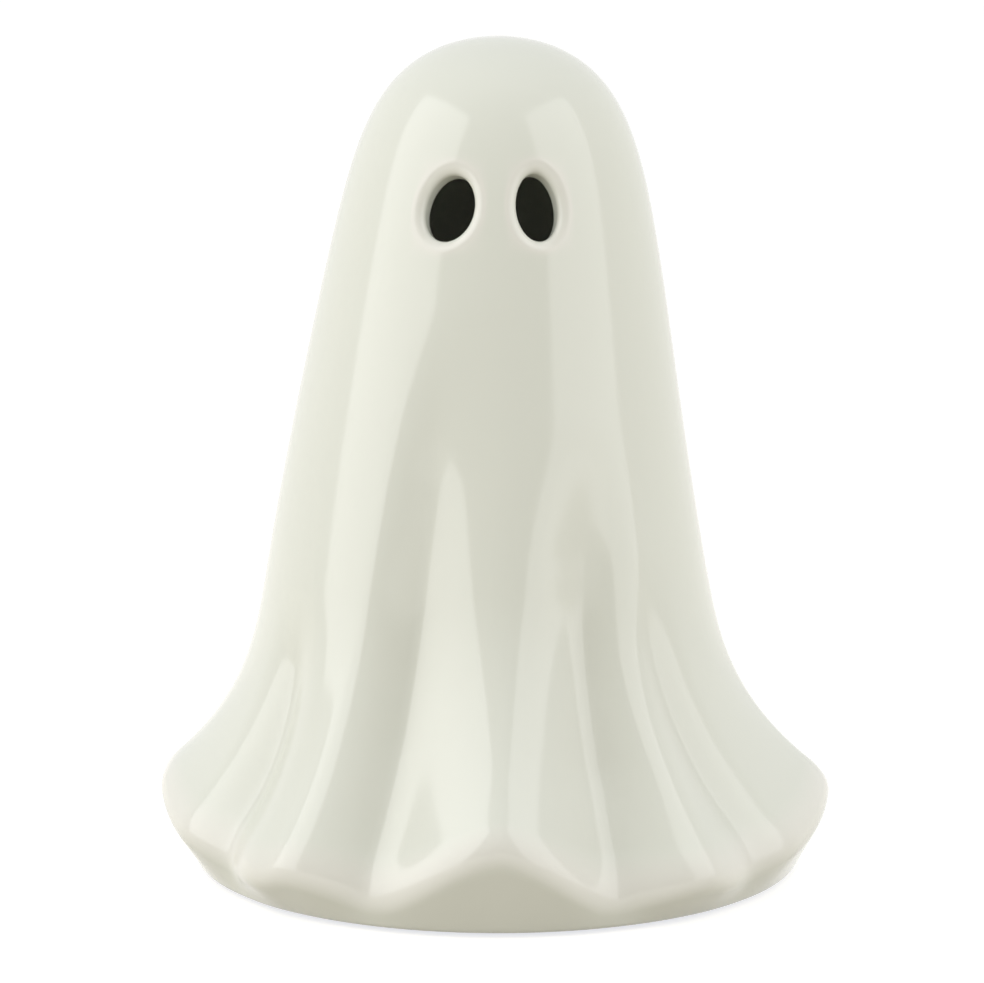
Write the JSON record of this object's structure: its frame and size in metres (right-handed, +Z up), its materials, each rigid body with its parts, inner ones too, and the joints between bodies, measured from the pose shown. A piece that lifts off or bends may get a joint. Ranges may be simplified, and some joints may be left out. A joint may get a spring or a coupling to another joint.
{
  "type": "ceramic ghost figure",
  "caption": "Hollow glazed ceramic ghost figure with draped folds and cut-through eye holes, lit from inside by a plug-in battery lamp unit with a twist-off battery door and slide switch.",
  "frame": {"origin": "on the surface the figure stands on, under the middle of the figure", "axes": "+Z up, the face looks along -Y, +X to the right as seen from the front"},
  "size_m": [0.1296, 0.119, 0.16],
  "materials": {
    "glaze": "gloss",
    "pad_foam": "matte",
    "unit_plastic": "satin",
    "soft_ring": "matte",
    "board": "satin",
    "cell_steel": "satin",
    "contact_metal": "satin",
    "lamp_resin": "gloss",
    "tinned_wire": "satin",
    "switch_steel": "satin",
    "knob_plastic": "satin",
    "screw_steel": "satin"
  },
  "bodies": {
    "ghost": {"ghost_shell": "glaze", "foot_pad_1": "pad_foam", "foot_pad_2": "pad_foam", "foot_pad_3": "pad_foam", "foot_pad_4": "pad_foam"},
    "light_unit": {"unit_case": "unit_plastic", "unit_base": "unit_plastic", "grip_ring": "soft_ring", "case_screw_1": "screw_steel", "case_screw_2": "screw_steel", "circuit_board": "board", "cell_holder": "unit_plastic", "coin_cell": "cell_steel", "cell_contact_centre": "contact_metal", "cell_contact_side": "contact_metal", "led_lens": "lamp_resin", "led_lead_1": "tinned_wire", "led_lead_2": "tinned_wire", "switch_housing": "switch_steel", "switch_pin_1": "tinned_wire", "switch_pin_2": "tinned_wire", "switch_pin_3": "tinned_wire"},
    "switch_slider": {"switch_slider": "knob_plastic"},
    "battery_door": {"battery_door": "unit_plastic"}
  },
  "joints": [
    {"name": "unit_pull", "type": "slide", "parent": "ghost", "child": "light_unit", "axis": [0, 0, -1], "range_m": [0, 0.03]},
    {"name": "switch_slide", "type": "slide", "parent": "light_unit", "child": "switch_slider", "axis": [1, 0, 0], "range_m": [0, 0.002]},
    {"name": "door_twist", "type": "hinge", "parent": "light_unit", "child": "battery_door", "pos_m": [0, 0.0032, 0.0012], "axis": [0, 0, -1], "range_deg": [0, 45]}
  ]
}
